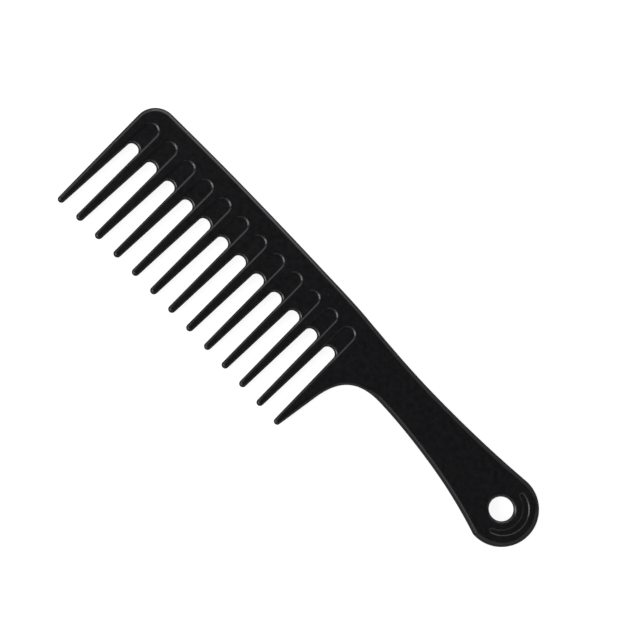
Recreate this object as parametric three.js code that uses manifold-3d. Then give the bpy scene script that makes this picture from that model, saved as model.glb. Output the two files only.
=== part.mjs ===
// A wide tooth comb moulded in black plastic: thirteen long tapered teeth under a flat spine, which runs on
// into a handle with a round end and a hanging hole.
//
// The comb lies flat, in millimetres. +X runs along its length towards the handle's round end, the teeth
// point along -Y, +Z is up through its thickness, and the origin is the centre of the base of its box.
//
// The real comb is one moulding. Here one blank is cut on flat planes into its spine, its handle and its
// teeth, which meet face to face.

import * as THREE from "three";
import { mergeVertices } from "three/addons/utils/BufferGeometryUtils.js";
import Module from "manifold-3d";

const wasm = await Module();
wasm.setup();

// ---- Driving dimensions ----

const THICKNESS = 5;
const TOOTH_COUNT = 13;
const SLOT_COUNT = TOOTH_COUNT - 1;

// Moulded edges: how far the rounding reaches in from the outline, and down from each face.
const EDGE_INSET = 1.2;
const EDGE_DROP = 1.6;
const EDGE_STEPS = 2;
const CURVE_STEPS = 6;

// The slots between the teeth. Their pitch closes up by a little from the first to the last, their axes
// fan out slightly towards the tips, and each widens downwards.
const FIRST_SLOT_X = -111.56;
const FIRST_PITCH = 10.91;
const PITCH_CHANGE = -0.03;
const FIRST_SLOT_LEAN = -0.0148;
const LEAN_CHANGE = 0.0019;
const SLOT_HALF_WIDTH = 3.09;
const SLOT_TAPER = 0.0233;
const SLOT_END_Y = 9.15;
const SLOT_END_HEIGHT = 2.45;

// The first slots end slightly higher, each by this step above the next, up to the seventh.
const SLOT_END_STEP = 0.108;
const LEVEL_FROM_SLOT = 6;

// The tips lie on a shallow bow: the shortest tooth is near the middle, the last is the longest.
const SHORTEST_TIP_Y = -28.9;
const SHORTEST_TOOTH = 5.8;
const TIP_BOW = 1.1;

// Each tooth is as thick as the spine at its root and thins towards its tip.
const ROOT_Y = 6;
const TIP_THICKNESS = 3.2;

// The free end: a nearly straight edge with a round corner below the back.
const END_EDGE_X = -119.53;
const END_EDGE_TAPER = 0.0237;
const CORNER = { x: -110.2, y: 19.7, radius: 9.8 };

// The last tooth's outer edge: straight from the tip, then a flare that sweeps round into the neck.
const LAST_EDGE_TAPER = 0.13;
const FLARE_START = { x: 16.3, y: -10.5, reach: 12.3 };
const NECK_BOTTOM = { x: 37, y: 7.7, slope: -0.02, reach: 13.5 };
const HANDLE_START_X = 36;

// The handle's round end, the angles where the long edges meet it, and the slightly oval hanging hole in it.
const ROUND_END = { x: 104.2, y: 12.93, radius: 15.8 };
const ROUND_END_FROM = THREE.MathUtils.degToRad(-93);
const ROUND_END_TO = THREE.MathUtils.degToRad(95.4);
const HOLE = { x: 104.02, y: 12.97, halfLength: 5.45, halfWidth: 5.08 };

// The long edges, as a few points with the edge's slope at each, in the order that they are drawn.
const LOWER_EDGE = [
  NECK_BOTTOM,
  { x: 70, y: 4.75, slope: -0.144 },
  { ...onRoundEnd(ROUND_END_FROM), slope: -0.314 },
];
const BACK_CROWN = { x: -72, y: 30, slope: 0 };
const BACK_EDGE = [
  { ...onRoundEnd(ROUND_END_TO), slope: 0.096 },
  { x: 51.3, y: 26.42, slope: 0 },
  { x: 8, y: 28.53, slope: -0.079 },
  { x: -20, y: 29.43, slope: -0.02 },
  BACK_CROWN,
  { x: CORNER.x, y: CORNER.y + CORNER.radius, slope: 0.02 },
];

// The shallow pocket in both faces above each slot.
const POCKET_DEPTH = 0.42;
const POCKET_WALL_RUN = 1;
const POCKET_SHOULDER = 1.25;
const POCKET_HEIGHT = 12.4;
const POCKET_RUN_OUT = 6;

// The crescent groove in both faces round the hanging hole. Its walls are arcs about their own centres.
const GROOVE_DEPTH = 0.35;
const GROOVE_WALL_RUN = 0.8;
const GROOVE_OUTER = { x: 104.44, y: 13.39, radius: 11.25 };
const GROOVE_INNER = { x: 103.46, y: 13.15, radius: 8.77 };
const GROOVE_FROM = THREE.MathUtils.degToRad(-70);
const GROOVE_TO = THREE.MathUtils.degToRad(80);

// How far a cutter stands past the solid that it cuts.
const OVERRUN = 5;

function onRoundEnd(angle) {
  return {
    x: ROUND_END.x + ROUND_END.radius * Math.cos(angle),
    y: ROUND_END.y + ROUND_END.radius * Math.sin(angle),
  };
}

// ---- Solids ----

// A closed three.js geometry as a solid that can be cut.
function solidOf(geometry) {
  const bare = geometry.clone();
  bare.deleteAttribute("normal");
  bare.deleteAttribute("uv");
  const merged = mergeVertices(bare, 1e-4);
  return new wasm.Manifold(
    new wasm.Mesh({
      numProp: 3,
      vertProperties: new Float32Array(merged.attributes.position.array),
      triVerts: new Uint32Array(merged.index.array),
    }),
  );
}

// A cut solid back as a three.js geometry.
function geometryOf(solid) {
  const mesh = solid.getMesh();
  const geometry = new THREE.BufferGeometry();
  geometry.setAttribute("position", new THREE.BufferAttribute(new Float32Array(mesh.vertProperties), 3));
  geometry.setIndex(new THREE.BufferAttribute(new Uint32Array(mesh.triVerts), 1));
  geometry.computeVertexNormals();
  return geometry;
}

// A box between two opposite corners in plan, tall enough to pass right through the comb.
function throughBox(xLow, xHigh, yLow, yHigh) {
  const geometry = new THREE.BoxGeometry(xHigh - xLow, yHigh - yLow, THICKNESS + 2 * OVERRUN);
  geometry.translate((xLow + xHigh) / 2, (yLow + yHigh) / 2, THICKNESS / 2);
  return solidOf(geometry);
}

// ---- The row of teeth ----

function slotEndY(slot) {
  return SLOT_END_Y + SLOT_END_STEP * Math.max(0, LEVEL_FROM_SLOT - slot);
}

// The slot's axis and half width at a height y.
function slotX(slot, y = 0) {
  const alongRow = FIRST_SLOT_X + FIRST_PITCH * slot + (PITCH_CHANGE * slot * (slot - 1)) / 2;
  return alongRow - (FIRST_SLOT_LEAN + LEAN_CHANGE * slot) * y;
}

function slotHalfWidth(y) {
  return SLOT_HALF_WIDTH - SLOT_TAPER * y;
}

function tipY(tooth) {
  return SHORTEST_TIP_Y - TIP_BOW * ((tooth - SHORTEST_TOOTH) / (SLOT_COUNT - SHORTEST_TOOTH)) ** 2;
}

function toothLeft(tooth, y) {
  if (tooth === 0) return END_EDGE_X - END_EDGE_TAPER * y;
  return slotX(tooth - 1, y) + slotHalfWidth(y);
}

function toothRight(tooth, y) {
  if (tooth === SLOT_COUNT) return FLARE_START.x + LAST_EDGE_TAPER * (y - FLARE_START.y);
  return slotX(tooth, y) - slotHalfWidth(y);
}

// The half circle that rounds a tooth's tip.
function tipArc(tooth) {
  const nearTip = tipY(tooth);
  const radius = (toothRight(tooth, nearTip) - toothLeft(tooth, nearTip)) / 2;
  const y = nearTip + radius;
  return { x: (toothLeft(tooth, y) + toothRight(tooth, y)) / 2, y, radius };
}

// ---- The outline ----

// Adds a smooth edge that passes each point at its own slope.
function addEdge(path, points) {
  for (let i = 1; i < points.length; i += 1) {
    const from = points[i - 1];
    const to = points[i];
    const third = (to.x - from.x) / 3;
    path.bezierCurveTo(
      from.x + third,
      from.y + from.slope * third,
      to.x - third,
      to.y - to.slope * third,
      to.x,
      to.y,
    );
  }
}

// Adds a large arc in two halves, so that each half gets a full set of steps.
function addWideArc(path, circle, from, to, clockwise = false) {
  const middle = (from + to) / 2;
  path.absarc(circle.x, circle.y, circle.radius, from, middle, clockwise);
  path.absarc(circle.x, circle.y, circle.radius, middle, to, clockwise);
}

function combOutline() {
  const outline = new THREE.Shape();
  for (let tooth = 0; tooth < TOOTH_COUNT; tooth += 1) {
    const tip = tipArc(tooth);
    outline.absarc(tip.x, tip.y, tip.radius, Math.PI, 2 * Math.PI, false);
    if (tooth < SLOT_COUNT) {
      const y = slotEndY(tooth) - SLOT_END_HEIGHT;
      outline.absellipse(slotX(tooth, y), y, slotHalfWidth(y), SLOT_END_HEIGHT, Math.PI, 0, true);
    }
  }

  // The last tooth's flare runs into the lower edge of the handle.
  outline.lineTo(FLARE_START.x, FLARE_START.y);
  outline.bezierCurveTo(
    FLARE_START.x + LAST_EDGE_TAPER * FLARE_START.reach,
    FLARE_START.y + FLARE_START.reach,
    NECK_BOTTOM.x - NECK_BOTTOM.reach,
    NECK_BOTTOM.y - NECK_BOTTOM.slope * NECK_BOTTOM.reach,
    NECK_BOTTOM.x,
    NECK_BOTTOM.y,
  );
  addEdge(outline, LOWER_EDGE);

  // The round end, then the back edge, which ends in the round corner.
  addWideArc(outline, ROUND_END, ROUND_END_FROM, ROUND_END_TO);
  addEdge(outline, BACK_EDGE);
  outline.absarc(CORNER.x, CORNER.y, CORNER.radius, Math.PI / 2, Math.PI, false);

  const hole = new THREE.Path();
  hole.absellipse(HOLE.x, HOLE.y, HOLE.halfLength, HOLE.halfWidth, 0, Math.PI, false);
  hole.absellipse(HOLE.x, HOLE.y, HOLE.halfLength, HOLE.halfWidth, Math.PI, 2 * Math.PI, false);
  outline.holes.push(hole);
  return outline;
}

function combBlank() {
  const geometry = new THREE.ExtrudeGeometry(combOutline(), {
    depth: THICKNESS - 2 * EDGE_DROP,
    curveSegments: CURVE_STEPS,
    bevelEnabled: true,
    bevelThickness: EDGE_DROP,
    bevelSize: EDGE_INSET,
    bevelOffset: -EDGE_INSET,
    bevelSegments: EDGE_STEPS,
  });
  geometry.translate(0, 0, EDGE_DROP);
  return solidOf(geometry);
}

// ---- The recesses in the faces ----

// A recess cutter with sloping walls. Its floor is depth below the upper face, or above the lower face.
function recessCutter(shape, depth, wallRun, face) {
  const geometry = new THREE.ExtrudeGeometry(shape, {
    depth: OVERRUN,
    curveSegments: CURVE_STEPS,
    bevelEnabled: true,
    bevelThickness: depth,
    bevelSize: wallRun,
    bevelOffset: -wallRun,
    bevelSegments: 1,
  });
  geometry.translate(0, 0, THICKNESS);
  if (face === "lower") {
    geometry.rotateY(Math.PI);
    geometry.translate(0, 0, THICKNESS);
  }
  return solidOf(geometry);
}

// The shape is mirrored in X for the lower face, because its cutter is turned over about the Y axis.
function sideOf(face) {
  return face === "lower" ? -1 : 1;
}

// A pocket: a round-headed recess as wide as the slot and its shoulders, which runs out along the teeth.
function pocketShape(slot, face) {
  const side = sideOf(face);
  const runOutY = slotEndY(slot) - POCKET_RUN_OUT;
  const headTopY = slotEndY(slot) + POCKET_HEIGHT;
  const headRadius = slotHalfWidth(headTopY) + POCKET_SHOULDER;
  const headY = headTopY - headRadius;
  const x = side * slotX(slot, headY);
  const runOutHalfWidth = slotHalfWidth(runOutY);
  const shape = new THREE.Shape();
  shape.moveTo(x - runOutHalfWidth, runOutY);
  shape.lineTo(x + runOutHalfWidth, runOutY);
  shape.absarc(x, headY, headRadius, 0, Math.PI, false);
  return shape;
}

// Adds the round end that leads from one wall of the crescent to the other at the given angle.
function addCrescentEnd(path, angle, start, end) {
  const startX = start.x + start.radius * Math.cos(angle);
  const startY = start.y + start.radius * Math.sin(angle);
  const endX = end.x + end.radius * Math.cos(angle);
  const endY = end.y + end.radius * Math.sin(angle);
  const turn = Math.atan2(startY - endY, startX - endX);
  const radius = Math.hypot(startX - endX, startY - endY) / 2;
  path.absarc((startX + endX) / 2, (startY + endY) / 2, radius, turn, turn + Math.PI, false);
}

// The crescent: a band round the outer side of the hole, mirrored in X for the lower face.
function crescentShape(face) {
  const outline = new THREE.Path();
  addWideArc(outline, GROOVE_OUTER, GROOVE_FROM, GROOVE_TO);
  addCrescentEnd(outline, GROOVE_TO, GROOVE_OUTER, GROOVE_INNER);
  addWideArc(outline, GROOVE_INNER, GROOVE_TO, GROOVE_FROM, true);
  addCrescentEnd(outline, GROOVE_FROM, GROOVE_INNER, GROOVE_OUTER);
  const side = sideOf(face);
  const points = outline.getPoints(CURVE_STEPS).map((point) => new THREE.Vector2(side * point.x, point.y));
  return new THREE.Shape(points);
}

function withRecesses(blank) {
  let comb = blank;
  for (const face of ["upper", "lower"]) {
    for (let slot = 0; slot < SLOT_COUNT; slot += 1) {
      comb = comb.subtract(recessCutter(pocketShape(slot, face), POCKET_DEPTH, POCKET_WALL_RUN, face));
    }
    comb = comb.subtract(recessCutter(crescentShape(face), GROOVE_DEPTH, GROOVE_WALL_RUN, face));
  }
  return comb;
}

// ---- The regions ----

const END_X = CORNER.x - CORNER.radius - OVERRUN;
const HANDLE_END_X = ROUND_END.x + ROUND_END.radius + OVERRUN;
const BACK_Y = BACK_CROWN.y + OVERRUN;
const FRONT_Y = tipY(SLOT_COUNT) - OVERRUN;

function plastic() {
  return new THREE.MeshStandardMaterial({ color: 0x17171a, roughness: 0.42, metalness: 0 });
}

function region(name, solid) {
  const mesh = new THREE.Mesh(geometryOf(solid), plastic());
  mesh.name = name;
  return mesh;
}

// A tooth keeps its thickness at the root and thins evenly about the comb's middle plane.
function thinTowardsTip(geometry, tooth) {
  const middle = THICKNESS / 2;
  const length = ROOT_Y - tipY(tooth);
  const loss = 1 - TIP_THICKNESS / THICKNESS;
  const position = geometry.attributes.position;
  for (let i = 0; i < position.count; i += 1) {
    const along = (ROOT_Y - position.getY(i)) / length;
    position.setZ(i, middle + (position.getZ(i) - middle) * (1 - loss * along));
  }
  geometry.computeVertexNormals();
}

function toothMesh(comb, tooth) {
  const left = tooth === 0 ? END_X : slotX(tooth - 1);
  const right = tooth === SLOT_COUNT ? HANDLE_START_X : slotX(tooth);
  const name = `tooth_${String(tooth + 1).padStart(2, "0")}`;
  const mesh = region(name, comb.intersect(throughBox(left, right, FRONT_Y, ROOT_Y)));
  thinTowardsTip(mesh.geometry, tooth);
  return mesh;
}

const comb = withRecesses(combBlank());
const part = new THREE.Group();
part.add(region("spine", comb.intersect(throughBox(END_X, HANDLE_START_X, ROOT_Y, BACK_Y))));
part.add(region("handle", comb.intersect(throughBox(HANDLE_START_X, HANDLE_END_X, FRONT_Y, BACK_Y))));

const teeth = new THREE.Group();
for (let tooth = 0; tooth < TOOTH_COUNT; tooth += 1) {
  teeth.add(toothMesh(comb, tooth));
}
part.add(teeth);

export default part;
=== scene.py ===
"""A wide tooth comb moulded in black plastic, lying flat on a pale floor under soft studio light.

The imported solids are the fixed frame. The real comb is one moulding, so one seamless mesh stands for all of
its regions: rows of points follow every moulded edge, and the faces inside them carry the recesses.
Shapes are worked out in millimetres in the comb's own frame, with z counted from its middle plane, and
become metres when the mesh is made.
"""

import math

import bpy
import numpy as np
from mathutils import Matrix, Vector
from mathutils.geometry import delaunay_2d_cdt
from mathutils.kdtree import KDTree


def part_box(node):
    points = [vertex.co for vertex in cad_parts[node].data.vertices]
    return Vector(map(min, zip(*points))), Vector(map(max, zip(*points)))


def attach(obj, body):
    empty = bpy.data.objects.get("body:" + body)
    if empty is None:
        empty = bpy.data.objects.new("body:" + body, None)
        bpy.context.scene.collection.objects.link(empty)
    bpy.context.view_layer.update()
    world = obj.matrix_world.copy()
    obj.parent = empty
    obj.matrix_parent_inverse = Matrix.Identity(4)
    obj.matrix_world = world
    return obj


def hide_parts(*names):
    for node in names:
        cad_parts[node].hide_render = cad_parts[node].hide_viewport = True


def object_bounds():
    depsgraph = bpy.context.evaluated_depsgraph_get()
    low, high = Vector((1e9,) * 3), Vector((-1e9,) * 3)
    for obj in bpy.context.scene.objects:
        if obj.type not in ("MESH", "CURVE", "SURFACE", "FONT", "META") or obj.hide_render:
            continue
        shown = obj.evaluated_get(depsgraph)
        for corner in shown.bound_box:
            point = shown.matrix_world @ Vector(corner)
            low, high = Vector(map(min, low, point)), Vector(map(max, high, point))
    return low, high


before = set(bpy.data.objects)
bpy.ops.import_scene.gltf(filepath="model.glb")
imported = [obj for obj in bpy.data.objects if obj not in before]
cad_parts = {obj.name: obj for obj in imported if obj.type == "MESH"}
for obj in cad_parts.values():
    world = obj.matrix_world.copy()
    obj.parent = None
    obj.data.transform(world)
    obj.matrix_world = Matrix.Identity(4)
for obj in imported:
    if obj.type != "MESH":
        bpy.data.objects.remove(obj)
CAD_LOW, CAD_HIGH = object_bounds()
MM = 0.001

# ---- The camera ----

# It looks straight down, with the comb's length running down to the right. The width and centre of what it
# sees at the comb's middle plane are in millimetres.
LENS_MM = 100
SENSOR_MM = 36
VIEW_WIDTH = 267.9
VIEW_CENTRE = (-5.53, 13.89)
VIEW_TURN = math.radians(45.73)


def add_camera():
    data = bpy.data.cameras.new("camera")
    data.lens = LENS_MM
    data.sensor_width = SENSOR_MM
    camera = bpy.data.objects.new("camera", data)
    bpy.context.scene.collection.objects.link(camera)
    above = VIEW_WIDTH * LENS_MM / SENSOR_MM
    height = (CAD_LOW.z + CAD_HIGH.z) / 2 + above * MM
    camera.location = (VIEW_CENTRE[0] * MM, VIEW_CENTRE[1] * MM, height)
    camera.rotation_euler = (0, 0, VIEW_TURN)
    bpy.context.scene.camera = camera


add_camera()

# ---- The comb's dimensions, as in its solids ----

TOOTH_NODES = sorted(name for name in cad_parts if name.startswith("tooth_"))
TOOTH_COUNT = len(TOOTH_NODES)
SLOT_COUNT = TOOTH_COUNT - 1
HALF_THICKNESS = (CAD_HIGH.z - CAD_LOW.z) / 2 / MM
ROOT_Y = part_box("spine")[0].y / MM
TIP_Y = [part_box(name)[0].y / MM for name in TOOTH_NODES]

# The slots between the teeth: their axes fan out slightly and each widens towards the tips.
FIRST_SLOT_X = -111.56
FIRST_PITCH = 10.91
PITCH_CHANGE = -0.03
FIRST_SLOT_LEAN = -0.0148
LEAN_CHANGE = 0.0019
SLOT_HALF_WIDTH = 3.09
SLOT_TAPER = 0.0233
SLOT_END_Y = 9.15
SLOT_END_HEIGHT = 2.45
SLOT_END_STEP = 0.108
LEVEL_FROM_SLOT = 6

# The free end, and the last tooth's outer edge that flares into the neck. Past the first of the two x
# positions the neck's small rounding grows, and at the second it has become the handle's.
END_EDGE_X = -119.53
END_EDGE_TAPER = 0.0237
CORNER = (-110.2, 19.7)
CORNER_RADIUS = 9.8
LAST_EDGE_TAPER = 0.13
FLARE_START = (16.3, -10.5)
FLARE_REACH = 12.3
NECK_BOTTOM = (37, 7.7)
NECK_REACH = 13.5
HANDLE_EDGE_FROM = 28.5
HANDLE_EDGE_FULL = 34.0

# The handle's round end and its slightly oval hanging hole.
ROUND_END = (104.2, 12.93)
ROUND_END_RADIUS = 15.8
ROUND_END_FROM = math.radians(-93)
ROUND_END_TO = math.radians(95.4)
HOLE = (104.02, 12.97)
HOLE_RADII = (5.45, 5.08)

# Points along the long edges, each as x, y and the edge's slope there.
LOWER_SLOPES = (-0.02, -0.144, -0.314)
LOWER_MIDDLE = (70, 4.75)
BACK_POINTS = ((51.3, 26.42, 0), (8, 28.53, -0.079), (-20, 29.43, -0.02), (-72, 30, 0), (-110.2, 29.5, 0.02))
BACK_FIRST_SLOPE = 0.096

# The teeth keep the spine's thickness at their roots and thin towards their tips.
TIP_LOSS = 0.9
THINNING_EASE = 0.15

# ---- Moulded edges ----

# Each edge: how far it reaches in from the outline, how far it drops, and its roundness, which is 2 for an
# ellipse and nearer 1 for a chamfer. A tip's edge turns into the tooth's over the length given.
TIP_EDGE = (1.45, 0.9, 1.5)
TIP_EDGE_LENGTH = 2.4
TOOTH_EDGE = (1.15, 1.15, 2.0)
SLOT_END_EDGE = (1.3, 0.85, 1.4)
FLARE_EDGE = (1.9, 1.6, 2.0)
NECK_EDGE = (1.3, 1.4, 2.0)
HANDLE_LOWER_EDGE = (3.0, 2.2, 2.0)
ROUND_LOW_EDGE = (3.2, 2.1, 2.0)
ROUND_TOP_EDGE = (2.8, 1.8, 2.0)
HANDLE_BACK_EDGE = (2.7, 1.9, 2.0)
SPINE_BACK_EDGE = (2.6, 1.9, 2.0)
END_EDGE = (2.2, 1.7, 2.0)
HOLE_EDGE = (2.0, 0.75, 1.5)

# Above each slot a shallow pocket with a round head: the ribs beside it keep their sides, and its floor is a
# thinner web that the slot ends in. A tooth's side turns into a rib's over the onset.
POCKET_DEPTH = 0.42
POCKET_HEAD = 8.5
WALL_TOP = 1.25
WALL_RUN = 1.0
RIB_SIDE_REACH = 0.35
RIB_SIDE_DROP = 0.75
RIB_ONSET = 6.0
BLEND_RADIUS = 0.06

# The crescent groove round the outer side of the hanging hole. Its outer and inner walls are arcs about
# slightly different centres, given here as offsets from the hole's.
GROOVE_DEPTH = 0.35
GROOVE_WALL = 0.8
GROOVE_OUTER = (0.42, 0.42, 10.85)
GROOVE_INNER = (-0.56, 0.18, 9.17)
GROOVE_FROM = math.radians(-70)
GROOVE_TO = math.radians(80)

# The two halves of the mould meet on a fine line round the middle of the sides.
PARTING_REACH = 0.04
PARTING_HEIGHT = 0.12
SIDE_DRAFT = 0.03

# ---- How finely the surface is drawn ----

STRAIGHT_STEP = 1.2
CURVE_STEP = 0.8
TIP_STEPS = 16
SLOT_END_STEPS = 30
HOLE_STEPS = 72
EDGE_ROWS = 8
GRID_STEP = 1.5
FEATURE_STEP = 0.4
GRID_CLEARANCE = 0.7
FEATURE_CLEARANCE = 0.16
SPACING_TO_FEATURES = 0.45
WALL_ROWS = 9
WALL_MARGIN = 0.15
LEAST_CAP_STEPS = 4
MERGE_DISTANCE = 1e-6


# ---- The finish ----

# Scales are features per metre and depths are metres. Noise is stretched over its usual range to give 0 to 1.
DARK_BLACK = (0.0083, 0.0083, 0.0094, 1)
PALE_BLACK = (0.0163, 0.0163, 0.0181, 1)
PLASTIC_IOR = 1.5
NOISE_RANGE = (0.3, 0.7)
ROUGHNESS = (0.22, 0.28)
FLOW_SCALE = 45.0
FLOW_DETAIL = 3.0
FLOW_STRETCH = (1.0, 2.6, 1.0)
MOTTLE_SCALE = 420.0
MOTTLE_DETAIL = 4.0
MOTTLE_ROUGHNESS = 0.6
GRAIN_SCALE = 3200.0
GRAIN_DETAIL = 2.0
GRAIN_STRENGTH = 0.35
GRAIN_DEPTH = 0.00003
SPECK_SCALE = 190.0
SPECK_SHARE = 0.86
SPECK_SIZE = 0.055
SPECK_DEPTH = 0.00004
SPECK_STRENGTH = 0.5
SPECK_ROUGHNESS = 0.2
WEAR_POLISH = 0.06

# ---- The studio ----

# The floor and the backdrop show brighter than the light that they cast. The room is dimmest overhead, and
# brightens over the band, which is in the upward part of the direction looked in.
FLOOR_HALF_SIDE = 3.0
FLOOR_GAP = 0.0001
FLOOR_COLOUR = (0.4, 0.4, 0.4)
FLOOR_ROUGHNESS = 0.9
FLOOR_GLOW = 0.9
FLOOR_GLOW_ON_COMB = 0.05
BACKDROP = 1.0
OVERHEAD_BAND = (0.2, 0.6)
ROOM_STRENGTH = 0.4
OVERHEAD_STRENGTH = 0.02

# Each softbox: name, where it stands, its width and height, and its radiance.
SOFTBOXES = (
    ("key_softbox", (-0.84, -1.25, 1.34), (0.9, 0.9), 4.4),
    ("left_softbox", (-0.80, 0.08, 0.55), (0.9, 0.5), 1.1),
    ("front_softbox", (-0.15, -0.80, 0.70), (0.6, 0.5), 1.0),
    ("back_softbox", (-0.32, 0.54, 0.27), (0.72, 0.48), 1.7),
    ("handle_back_softbox", (0.10, 0.36, 0.28), (0.4, 0.22), 0.42),
    ("handle_end_softbox", (0.22, 0.0, 0.10), (0.2, 0.06), 0.5),
    ("handle_front_softbox", (0.24, -0.30, 0.28), (0.3, 0.25), 0.45),
)


def slot_end_y(slot):
    return SLOT_END_Y + SLOT_END_STEP * max(0, LEVEL_FROM_SLOT - slot)


def slot_x(slot, y):
    along = FIRST_SLOT_X + FIRST_PITCH * slot + PITCH_CHANGE * slot * (slot - 1) / 2
    return along - (FIRST_SLOT_LEAN + LEAN_CHANGE * slot) * y


def slot_half_width(y):
    return SLOT_HALF_WIDTH - SLOT_TAPER * y


def tooth_left(tooth, y):
    if tooth == 0:
        return END_EDGE_X - END_EDGE_TAPER * y
    return slot_x(tooth - 1, y) + slot_half_width(y)


def tooth_right(tooth, y):
    if tooth == SLOT_COUNT:
        return FLARE_START[0] + LAST_EDGE_TAPER * (y - FLARE_START[1])
    return slot_x(tooth, y) - slot_half_width(y)


def tip_circle(tooth):
    """Centre and radius of the half circle that rounds a tooth's tip."""
    radius = (tooth_right(tooth, TIP_Y[tooth]) - tooth_left(tooth, TIP_Y[tooth])) / 2
    y = TIP_Y[tooth] + radius
    return (tooth_left(tooth, y) + tooth_right(tooth, y)) / 2, y, radius


# ---- Runs of points along the outline ----


def line(start, end):
    start, end = np.array(start, float), np.array(end, float)
    steps = max(1, math.ceil(np.linalg.norm(end - start) / STRAIGHT_STEP))
    return start + np.linspace(0, 1, steps + 1)[:, None] * (end - start)


def arc(centre, radii, start, end, steps):
    angle = np.linspace(start, end, steps + 1)
    return np.column_stack([centre[0] + radii[0] * np.cos(angle), centre[1] + radii[1] * np.sin(angle)])


def bezier(p0, p1, p2, p3):
    chord = math.dist(p0, p1) + math.dist(p1, p2) + math.dist(p2, p3)
    t = np.linspace(0, 1, math.ceil(chord / CURVE_STEP) + 1)[:, None]
    p0, p1, p2, p3 = (np.array(p, float) for p in (p0, p1, p2, p3))
    return (1 - t) ** 3 * p0 + 3 * t * (1 - t) ** 2 * p1 + 3 * t**2 * (1 - t) * p2 + t**3 * p3


def smooth_edge(points):
    """Curves through points given as x, y and slope."""
    pieces = []
    for (x0, y0, s0), (x1, y1, s1) in zip(points, points[1:]):
        third = (x1 - x0) / 3
        leaving = (x0 + third, y0 + s0 * third)
        arriving = (x1 - third, y1 - s1 * third)
        pieces.append(bezier((x0, y0), leaving, arriving, (x1, y1)))
    return np.vstack([pieces[0]] + [piece[1:] for piece in pieces[1:]])


def on_round_end(angle):
    return (
        ROUND_END[0] + ROUND_END_RADIUS * math.cos(angle),
        ROUND_END[1] + ROUND_END_RADIUS * math.sin(angle),
    )


class Loop:
    """A closed line of outline points, each with its moulded edge and the slot that it borders, or -1."""

    def __init__(self):
        self.points, self.edge, self.slot, self.is_end = [], [], [], []

    def add(self, points, start_edge, end_edge=None, slot=-1, is_end=False):
        """Adds a run of points, without its last one, on which the next run starts."""
        start_edge, end_edge = np.array(start_edge), np.array(end_edge or start_edge)
        count = len(points) - 1
        share = np.linspace(0, 1, count + 1)[:-1, None]
        self.points.append(points[:-1])
        self.edge.append(start_edge + share * (end_edge - start_edge))
        self.slot.append(np.full(count, slot))
        self.is_end.append(np.full(count, is_end))

    def close(self):
        self.points = np.vstack(self.points)
        self.reach, self.drop, self.power = np.vstack(self.edge).T
        self.slot = np.concatenate(self.slot)
        self.is_end = np.concatenate(self.is_end)
        before = self.points - np.roll(self.points, 1, axis=0)
        after = np.roll(before, -1, axis=0)
        before_length = np.linalg.norm(before, axis=1, keepdims=True)
        after_length = np.linalg.norm(after, axis=1, keepdims=True)
        along = before / before_length * after_length + after / after_length * before_length
        along /= np.linalg.norm(along, axis=1, keepdims=True)
        self.inward = np.column_stack([-along[:, 1], along[:, 0]])
        return self


def add_slot_sides(loop, tooth, near_tip):
    """The outline from one tooth's tip up to the slot's end and down to the next tooth's tip."""
    x, y, radius = tip_circle(tooth)
    next_x, next_y, next_radius = tip_circle(tooth + 1)
    end_y = slot_end_y(tooth) - SLOT_END_HEIGHT
    half = slot_half_width(end_y)
    axis_x = slot_x(tooth, end_y)
    right = line((x + radius, y), (axis_x - half, end_y))
    loop.add(right[: near_tip + 1], TIP_EDGE, TOOTH_EDGE, slot=tooth)
    loop.add(right[near_tip:], TOOTH_EDGE, slot=tooth)
    end = arc((axis_x, end_y), (half, SLOT_END_HEIGHT), math.pi, 0, SLOT_END_STEPS)
    loop.add(end, SLOT_END_EDGE, slot=tooth, is_end=True)
    left = line((axis_x + half, end_y), (next_x - next_radius, next_y))
    loop.add(left[:-near_tip], TOOTH_EDGE, slot=tooth)
    loop.add(left[-near_tip - 1 :], TOOTH_EDGE, TIP_EDGE, slot=tooth)


def add_teeth(loop):
    near_tip = round(TIP_EDGE_LENGTH / STRAIGHT_STEP)
    for tooth in range(TOOTH_COUNT):
        x, y, radius = tip_circle(tooth)
        loop.add(arc((x, y), (radius, radius), math.pi, 2 * math.pi, TIP_STEPS), TIP_EDGE)
        if tooth < SLOT_COUNT:
            add_slot_sides(loop, tooth, near_tip)
    loop.add(line((x + radius, y), FLARE_START), TIP_EDGE, FLARE_EDGE)


def add_lower_edge(loop):
    """The flare from the last tooth to the neck, and the handle's lower edge."""
    flare_handle = (FLARE_START[0] + LAST_EDGE_TAPER * FLARE_REACH, FLARE_START[1] + FLARE_REACH)
    neck_handle = (NECK_BOTTOM[0] - NECK_REACH, NECK_BOTTOM[1] - LOWER_SLOPES[0] * NECK_REACH)
    flare = bezier(FLARE_START, flare_handle, neck_handle, NECK_BOTTOM)
    start, full = np.searchsorted(flare[:, 0], (HANDLE_EDGE_FROM, HANDLE_EDGE_FULL))
    loop.add(flare[: start + 1], FLARE_EDGE, NECK_EDGE)
    loop.add(flare[start : full + 1], NECK_EDGE, HANDLE_LOWER_EDGE)
    loop.add(flare[full:], HANDLE_LOWER_EDGE)
    lower_ends = [NECK_BOTTOM, LOWER_MIDDLE, on_round_end(ROUND_END_FROM)]
    lower = [(*point, slope) for point, slope in zip(lower_ends, LOWER_SLOPES)]
    loop.add(smooth_edge(lower), HANDLE_LOWER_EDGE)


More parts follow.
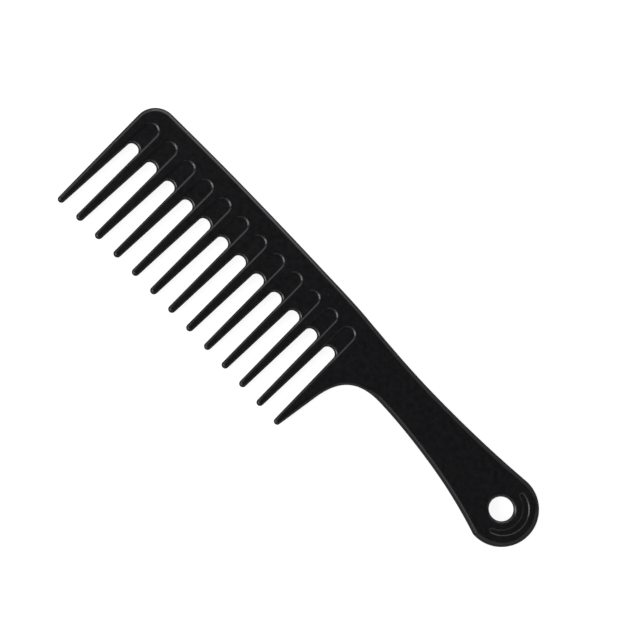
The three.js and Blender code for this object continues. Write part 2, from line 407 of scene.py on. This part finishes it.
def add_round_end_and_back(loop):
    radii = (ROUND_END_RADIUS, ROUND_END_RADIUS)
    steps = math.ceil(ROUND_END_RADIUS * (ROUND_END_TO - ROUND_END_FROM) / CURVE_STEP)
    loop.add(arc(ROUND_END, radii, ROUND_END_FROM, ROUND_END_TO, steps), ROUND_LOW_EDGE, ROUND_TOP_EDGE)
    back = [(*on_round_end(ROUND_END_TO), BACK_FIRST_SLOPE), *BACK_POINTS]
    loop.add(smooth_edge(back[:2]), ROUND_TOP_EDGE, HANDLE_BACK_EDGE)
    loop.add(smooth_edge(back[1:3]), HANDLE_BACK_EDGE, SPINE_BACK_EDGE)
    loop.add(smooth_edge(back[2:]), SPINE_BACK_EDGE)


def add_free_end(loop):
    """The round corner, and the end edge down to the first tooth's tip."""
    corner_steps = math.ceil(CORNER_RADIUS * math.pi / 2 / CURVE_STEP)
    corner = arc(CORNER, (CORNER_RADIUS, CORNER_RADIUS), math.pi / 2, math.pi, corner_steps)
    loop.add(corner, SPINE_BACK_EDGE, END_EDGE)
    x, y, radius = tip_circle(0)
    loop.add(line(corner[-1], (x - radius, y)), END_EDGE, TIP_EDGE)


def outline_loop():
    loop = Loop()
    add_teeth(loop)
    add_lower_edge(loop)
    add_round_end_and_back(loop)
    add_free_end(loop)
    return loop.close()


def hole_loop():
    loop = Loop()
    loop.add(arc(HOLE, HOLE_RADII, 0, -2 * math.pi, HOLE_STEPS), HOLE_EDGE)
    return loop.close()


# ---- Heights of the face ----


def blend_up(a, b):
    """The higher of two surfaces, with a small fillet where they meet.

    It changes nothing where they are a pocket's depth apart, so the flat face stays level with its edges.
    """
    lift = math.hypot(POCKET_DEPTH, BLEND_RADIUS) - POCKET_DEPTH
    return 0.5 * (a + b + np.hypot(a - b, BLEND_RADIUS) - lift)


def slot_distance(points, slot):
    """Distance out from the side of a slot that is carried up to the round head of its pocket."""
    x, y = points[:, 0], points[:, 1]
    head_y = slot_end_y(slot) + POCKET_HEAD
    beside = np.abs(x - slot_x(slot, y)) - slot_half_width(y)
    above = np.hypot(x - slot_x(slot, head_y), y - head_y) - slot_half_width(head_y)
    return np.where(y > head_y, above, beside)


def rib_height(distance):
    """Height below the face of the side of a rib: the pocket's sloping wall, then the rib's own side."""
    wall = POCKET_DEPTH * smooth_step((WALL_TOP - distance) / WALL_RUN)
    side = RIB_SIDE_DROP * np.clip(1 - distance / RIB_SIDE_REACH, 0, None) ** 2
    return -wall - side


def groove_radius(arc_of, angle):
    return arc_of[2] + arc_of[0] * np.cos(angle) + arc_of[1] * np.sin(angle)


def groove_share(points):
    """How deep in the crescent groove each point is, from 0 on the face to 1 on its floor."""
    dx, dy = points[:, 0] - HOLE[0], points[:, 1] - HOLE[1]
    angle = np.clip(np.arctan2(dy, dx), GROOVE_FROM, GROOVE_TO)
    outer, inner = groove_radius(GROOVE_OUTER, angle), groove_radius(GROOVE_INNER, angle)
    middle, half = (outer + inner) / 2, (outer - inner) / 2
    away = np.hypot(dx - middle * np.cos(angle), dy - middle * np.sin(angle))
    return smooth_step((half - away) / GROOVE_WALL + 0.5)


def smooth_step(t):
    t = np.clip(t, 0, 1)
    return t * t * (3 - 2 * t)


def thinning(y):
    """How far a tooth's face has come down towards the middle plane."""
    share = np.clip((ROOT_Y - y) / (ROOT_Y - np.mean(TIP_Y)), 0, None)
    return TIP_LOSS * share**2 / (share + THINNING_EASE) * (1 + THINNING_EASE)


def face_height(points):
    """Height of the upper face, its recesses included, above the middle plane."""
    recess = np.zeros(len(points))
    for slot in range(SLOT_COUNT):
        recess = np.minimum(recess, blend_up(rib_height(slot_distance(points, slot)), -POCKET_DEPTH))
    return HALF_THICKNESS - thinning(points[:, 1]) + np.minimum(recess, -GROOVE_DEPTH * groove_share(points))


# ---- The surface ----


def rib_share(slot, y):
    """How far a tooth's side has turned into the rib beside the pocket: 0 on the tooth, 1 at the web."""
    end_y = slot_end_y(slot) - SLOT_END_HEIGHT
    return smooth_step((y - end_y + RIB_ONSET) / RIB_ONSET)


def edge_rows(loop):
    """Rows of points over a moulded edge, from its side in to the face, as x, y, z and wear."""
    start = PARTING_REACH + SIDE_DRAFT
    rows = []
    for row in range(EDGE_ROWS + 1):
        turn = row / EDGE_ROWS * math.pi / 2
        lean = math.cos(turn) ** (2 / loop.power)
        points = loop.points + loop.inward * (start + (loop.reach - start) * (1 - lean))[:, None]
        fall = -loop.drop * (1 - math.sin(turn) ** (2 / loop.power))
        for slot in range(SLOT_COUNT):
            end = (loop.slot == slot) & loop.is_end
            side = (loop.slot == slot) & ~loop.is_end
            if end.any():
                fall[end] = blend_up(rib_height(slot_distance(points[end], slot)), fall[end] - POCKET_DEPTH)
            if side.any():
                share = rib_share(slot, points[side, 1])
                fall[side] += share * (rib_height(slot_distance(points[side], slot)) - fall[side])
        z = HALF_THICKNESS - thinning(points[:, 1]) + fall
        rows.append(np.column_stack([points, z, 4 * lean * (1 - lean)]))
    return rows


def inside(points, polygon):
    """Whether each point lies inside a closed polygon."""
    x, y = points[:, 0], points[:, 1]
    result = np.zeros(len(points), bool)
    for (x0, y0), (x1, y1) in zip(polygon, np.roll(polygon, -1, axis=0)):
        if y0 == y1:
            continue
        crosses = ((y0 > y) != (y1 > y)) & (x < x0 + (y - y0) / (y1 - y0) * (x1 - x0))
        result ^= crosses
    return result


def clear_of(points, others, clearance):
    """The points that are at least that far from every one of the others."""
    tree = KDTree(len(others))
    for i, point in enumerate(others):
        tree.insert((point[0], point[1], 0), i)
    tree.balance()
    keep = [tree.find((point[0], point[1], 0))[2] >= clearance for point in points]
    return points[np.array(keep, bool)]


def pocket_lines(slot):
    """Points in rows that follow a pocket's sloping wall."""
    head_y = slot_end_y(slot) + POCKET_HEAD
    lines = []
    for distance in np.linspace(WALL_TOP - WALL_RUN - WALL_MARGIN, WALL_TOP + WALL_MARGIN, WALL_ROWS):
        radius = slot_half_width(head_y) + distance
        steps = math.ceil(math.pi * radius / FEATURE_STEP)
        lines.append(arc((slot_x(slot, head_y), head_y), (radius, radius), 0, math.pi, steps))
        y = np.arange(slot_end_y(slot) - SLOT_END_HEIGHT, head_y - FEATURE_STEP / 2, FEATURE_STEP)
        for side in (-1, 1):
            lines.append(np.column_stack([slot_x(slot, y) + side * (slot_half_width(y) + distance), y]))
    return np.vstack(lines)


def groove_lines():
    """Points in rows that follow the crescent groove's walls and round ends."""
    lines = []
    steps = math.ceil(GROOVE_OUTER[2] * (GROOVE_TO - GROOVE_FROM) / FEATURE_STEP)
    angle = np.linspace(GROOVE_FROM, GROOVE_TO, steps + 1)
    for out in np.linspace(-GROOVE_WALL / 2 - WALL_MARGIN, GROOVE_WALL / 2 + WALL_MARGIN, WALL_ROWS):
        for arc_of, side in ((GROOVE_OUTER, 1), (GROOVE_INNER, -1)):
            radius = groove_radius(arc_of, angle) + side * out
            x, y = HOLE[0] + radius * np.cos(angle), HOLE[1] + radius * np.sin(angle)
            lines.append(np.column_stack([x, y]))
        for end, turn in ((GROOVE_FROM, -math.pi), (GROOVE_TO, math.pi)):
            outer, inner = groove_radius(GROOVE_OUTER, end), groove_radius(GROOVE_INNER, end)
            middle, cap = (outer + inner) / 2, (outer - inner) / 2 + out
            centre = (HOLE[0] + middle * math.cos(end), HOLE[1] + middle * math.sin(end))
            cap_steps = max(LEAST_CAP_STEPS, math.ceil(math.pi * cap / FEATURE_STEP))
            lines.append(arc(centre, (cap, cap), end, end + turn, cap_steps)[1:-1])
    return np.vstack(lines)


def grid_points(low, high):
    x = np.arange(low[0], high[0], GRID_STEP)
    y = np.arange(low[1], high[1], GRID_STEP * math.sqrt(3) / 2)
    gx, gy = np.meshgrid(x, y)
    gx[1::2] += GRID_STEP / 2
    return np.column_stack([gx.ravel(), gy.ravel()])


def face_points(outer, hole):
    """Points on the face inside its rounded edges."""
    borders = np.vstack([outer, hole])
    features = np.vstack([pocket_lines(slot) for slot in range(SLOT_COUNT)] + [groove_lines()])
    features = features[inside(features, outer) & ~inside(features, hole)]
    features = clear_of(features, borders, FEATURE_CLEARANCE)
    grid = grid_points(outer.min(axis=0), outer.max(axis=0))
    grid = grid[inside(grid, outer) & ~inside(grid, hole)]
    grid = clear_of(grid, borders, GRID_CLEARANCE)
    grid = clear_of(grid, features, SPACING_TO_FEATURES)
    return np.vstack([features, grid])


def ring_edges(start, count):
    return [(start + i, start + (i + 1) % count) for i in range(count)]


def face_triangles(outer, hole, points):
    """Triangles of the face, as indices into outer, hole and points in that order."""
    every = np.vstack([outer, hole, points])
    edges = ring_edges(0, len(outer)) + ring_edges(len(outer), len(hole))
    made = delaunay_2d_cdt([Vector(p) for p in every], edges, [], 0, MERGE_DISTANCE)
    if len(made[0]) != len(every):
        raise ValueError("the face's borders cross each other")
    source = [ids[0] for ids in made[3]]
    triangles = np.array([[source[v] for v in face] for face in made[2]])
    middle = every[triangles].mean(axis=1)
    triangles = triangles[inside(middle, outer) & ~inside(middle, hole)]
    a, b, c = (every[triangles[:, k]] for k in range(3))
    turn = (b[:, 0] - a[:, 0]) * (c[:, 1] - a[:, 1]) - (b[:, 1] - a[:, 1]) * (c[:, 0] - a[:, 0])
    triangles[turn < 0] = triangles[turn < 0][:, ::-1]
    return triangles


def pocket_wear(points):
    """Wear along the rounded wall of the pockets."""
    wear = np.zeros(len(points))
    for slot in range(SLOT_COUNT):
        share = smooth_step((WALL_TOP - slot_distance(points, slot)) / WALL_RUN)
        wear = np.maximum(wear, 4 * share * (1 - share))
    return wear


def strip(first, second, count):
    """Faces of a closed band between two rows of vertices."""
    faces = []
    for i in range(count):
        j = (i + 1) % count
        faces.append((first + i, first + j, second + j, second + i))
    return faces


def comb_surface():
    """The closed surface of the comb: vertices as x, y, z and wear, and faces."""
    loops = [outline_loop(), hole_loop()]
    rows = [edge_rows(loop) for loop in loops]
    counts = [len(loop.points) for loop in loops]
    inner = face_points(rows[0][-1][:, :2], rows[1][-1][:, :2])
    face = np.column_stack([inner, face_height(inner), pocket_wear(inner)])

    vertices, faces, starts = [], [], {}

    def put(key, block):
        starts[key] = sum(len(b) for b in vertices)
        vertices.append(block)

    for k, loop in enumerate(loops):
        flat = np.zeros(counts[k])
        put((k, "middle"), np.column_stack([loop.points, flat, flat]))
        for side in (1, -1):
            seam = loop.points + loop.inward * PARTING_REACH
            put((k, "seam", side), np.column_stack([seam, flat + side * PARTING_HEIGHT, flat]))
            for row, block in enumerate(rows[k]):
                put((k, row, side), block * (1, 1, side, 1))
    for side in (1, -1):
        put(("face", side), face * (1, 1, side, 1))

    triangles = face_triangles(rows[0][-1][:, :2], rows[1][-1][:, :2], inner)
    for side in (1, -1):
        for k in range(2):
            chain = [(k, "middle"), (k, "seam", side)] + [(k, row, side) for row in range(EDGE_ROWS + 1)]
            for lower, upper in zip(chain, chain[1:]):
                band = strip(starts[lower], starts[upper], counts[k])
                faces += band if side > 0 else [f[::-1] for f in band]
        index = np.concatenate([
            starts[(0, EDGE_ROWS, side)] + np.arange(counts[0]),
            starts[(1, EDGE_ROWS, side)] + np.arange(counts[1]),
            starts[("face", side)] + np.arange(len(inner)),
        ])
        whole = index[triangles]
        faces += [tuple(map(int, t)) for t in (whole if side > 0 else whole[:, ::-1])]
    return np.vstack(vertices), faces


# ---- Materials ----


def add_node(tree, kind, inputs=None, **settings):
    node = tree.nodes.new(kind)
    for name, value in settings.items():
        setattr(node, name, value)
    for name, value in (inputs or {}).items():
        if isinstance(value, bpy.types.NodeSocket):
            tree.links.new(value, node.inputs[name])
        else:
            node.inputs[name].default_value = value
    return node


def noise(tree, coordinates, scale, detail, roughness=0.5):
    inputs = {"Vector": coordinates, "Scale": scale, "Detail": detail, "Roughness": roughness}
    return add_node(tree, "ShaderNodeTexNoise", inputs).outputs["Fac"]


def remap(tree, value, from_low, from_high, to_low, to_high):
    inputs = {"Value": value, "From Min": from_low, "From Max": from_high}
    inputs.update({"To Min": to_low, "To Max": to_high})
    return add_node(tree, "ShaderNodeMapRange", inputs).outputs["Result"]


def ramp(tree, value, low, high):
    """A colour between two, by a value from 0 to 1."""
    node = add_node(tree, "ShaderNodeValToRGB", {"Fac": value})
    node.color_ramp.elements[0].color = low
    node.color_ramp.elements[1].color = high
    return node.outputs["Color"]


def arithmetic(tree, operation, *values):
    return add_node(tree, "ShaderNodeMath", dict(enumerate(values)), operation=operation).outputs["Value"]


def speck_mask(tree, coordinates):
    """1 on a few small specks and 0 elsewhere."""
    cells = add_node(tree, "ShaderNodeTexVoronoi", {"Vector": coordinates, "Scale": SPECK_SCALE})
    chosen = add_node(tree, "ShaderNodeSeparateColor", {"Color": cells.outputs["Color"]}).outputs["Red"]
    size = remap(tree, chosen, SPECK_SHARE, 1.0, 0.0, SPECK_SIZE)
    return arithmetic(tree, "LESS_THAN", cells.outputs["Distance"], size)


def plastic_colour(tree, coordinates):
    mottle = noise(tree, coordinates, MOTTLE_SCALE, MOTTLE_DETAIL, MOTTLE_ROUGHNESS)
    return ramp(tree, remap(tree, mottle, *NOISE_RANGE, 0.0, 1.0), DARK_BLACK, PALE_BLACK)


def plastic_roughness(tree, coordinates, speck):
    """Slow flow marks, rougher on the specks and polished where the edges are worn."""
    mapping = add_node(tree, "ShaderNodeMapping", {"Vector": coordinates, "Scale": FLOW_STRETCH})
    flow = noise(tree, mapping.outputs["Vector"], FLOW_SCALE, FLOW_DETAIL)
    wear = add_node(tree, "ShaderNodeAttribute", attribute_name="wear").outputs["Fac"]
    smooth = remap(tree, flow, *NOISE_RANGE, *ROUGHNESS)
    speckled = arithmetic(tree, "MULTIPLY_ADD", speck, SPECK_ROUGHNESS, smooth)
    return arithmetic(tree, "MULTIPLY_ADD", wear, -WEAR_POLISH, speckled)


def plastic_normal(tree, coordinates, speck):
    """Fine grain all over, and each speck a shallow pit."""
    grain = noise(tree, coordinates, GRAIN_SCALE, GRAIN_DETAIL)
    inputs = {"Height": grain, "Strength": GRAIN_STRENGTH, "Distance": GRAIN_DEPTH}
    fine = add_node(tree, "ShaderNodeBump", inputs).outputs["Normal"]
    inputs = {"Height": speck, "Strength": SPECK_STRENGTH, "Distance": SPECK_DEPTH, "Normal": fine}
    return add_node(tree, "ShaderNodeBump", inputs, invert=True).outputs["Normal"]


def plastic_material():
    """Satin black moulded plastic: fine grain, slow flow marks, a few specks, and edges polished by use."""
    material = bpy.data.materials.new("black_plastic")
    material.use_nodes = True
    tree = material.node_tree
    tree.nodes.clear()
    coordinates = add_node(tree, "ShaderNodeTexCoord").outputs["Object"]
    speck = speck_mask(tree, coordinates)
    shader = add_node(tree, "ShaderNodeBsdfPrincipled", {
        "Base Color": plastic_colour(tree, coordinates),
        "Roughness": plastic_roughness(tree, coordinates, speck),
        "IOR": PLASTIC_IOR,
        "Normal": plastic_normal(tree, coordinates, speck),
    })
    add_node(tree, "ShaderNodeOutputMaterial", {"Surface": shader.outputs["BSDF"]})
    return material


def by_camera_ray(tree, seen, lighting):
    """One strength for what the camera sees directly and another for the light that it casts."""
    direct = add_node(tree, "ShaderNodeLightPath").outputs["Is Camera Ray"]
    return remap(tree, direct, 0.0, 1.0, lighting, seen)


def floor_material():
    """A plain pale floor that shows nearly white, but casts little light up on the comb's edges."""
    material = bpy.data.materials.new("pale_floor")
    material.use_nodes = True
    tree = material.node_tree
    shader = tree.nodes["Principled BSDF"]
    shader.inputs["Base Color"].default_value = (*FLOOR_COLOUR, 1)
    shader.inputs["Roughness"].default_value = FLOOR_ROUGHNESS
    shader.inputs["Specular IOR Level"].default_value = 0.0
    shader.inputs["Emission Color"].default_value = (1, 1, 1, 1)
    tree.links.new(by_camera_ray(tree, FLOOR_GLOW, FLOOR_GLOW_ON_COMB), shader.inputs["Emission Strength"])
    return material


# ---- The objects ----


def mesh_object(name, vertices, faces, material):
    mesh = bpy.data.meshes.new(name)
    mesh.from_pydata([tuple(map(float, v)) for v in vertices], [], faces)
    mesh.materials.append(material)
    made = bpy.data.objects.new(name, mesh)
    bpy.context.scene.collection.objects.link(made)
    return made


def add_comb():
    surface, faces = comb_surface()
    middle_z = (CAD_LOW.z + CAD_HIGH.z) / 2
    places = surface[:, :3] * MM + (0, 0, middle_z)
    comb = mesh_object("comb_moulding", places, faces, plastic_material())
    wear = comb.data.attributes.new("wear", "FLOAT", "POINT")
    wear.data.foreach_set("value", surface[:, 3].astype(np.float32))
    comb.data.shade_smooth()
    comb.data.validate()
    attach(comb, "root")
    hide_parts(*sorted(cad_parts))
    return comb


def add_floor():
    half, z = FLOOR_HALF_SIDE, CAD_LOW.z - FLOOR_GAP
    corners = [(-half, -half, z), (half, -half, z), (half, half, z), (-half, half, z)]
    floor = mesh_object("floor", corners, [(0, 1, 2, 3)], floor_material())


def add_softbox(name, place, size, radiance):
    """A soft light that faces the comb."""
    data = bpy.data.lights.new(name, "AREA")
    data.shape = "RECTANGLE"
    data.size, data.size_y = size
    data.energy = radiance * math.pi * size[0] * size[1]
    light = bpy.data.objects.new(name, data)
    bpy.context.scene.collection.objects.link(light)
    light.location = place
    light.rotation_euler = Vector(place).to_track_quat("Z", "Y").to_euler()
    light.visible_camera = False


def add_world():
    """A pale backdrop in a dim room that is darkest straight overhead."""
    world = bpy.data.worlds.new("studio")
    bpy.context.scene.world = world
    world.use_nodes = True
    tree = world.node_tree
    direction = add_node(tree, "ShaderNodeTexCoord").outputs["Generated"]
    height = add_node(tree, "ShaderNodeSeparateXYZ", {"Vector": direction}).outputs["Z"]
    room = remap(tree, height, *OVERHEAD_BAND, ROOM_STRENGTH, OVERHEAD_STRENGTH)
    background = tree.nodes["Background"]
    background.inputs["Color"].default_value = (1, 1, 1, 1)
    tree.links.new(by_camera_ray(tree, BACKDROP, room), background.inputs["Strength"])


add_comb()
add_floor()
add_world()
for softbox in SOFTBOXES:
    add_softbox(*softbox)
bpy.context.scene.view_settings.view_transform = "Standard"
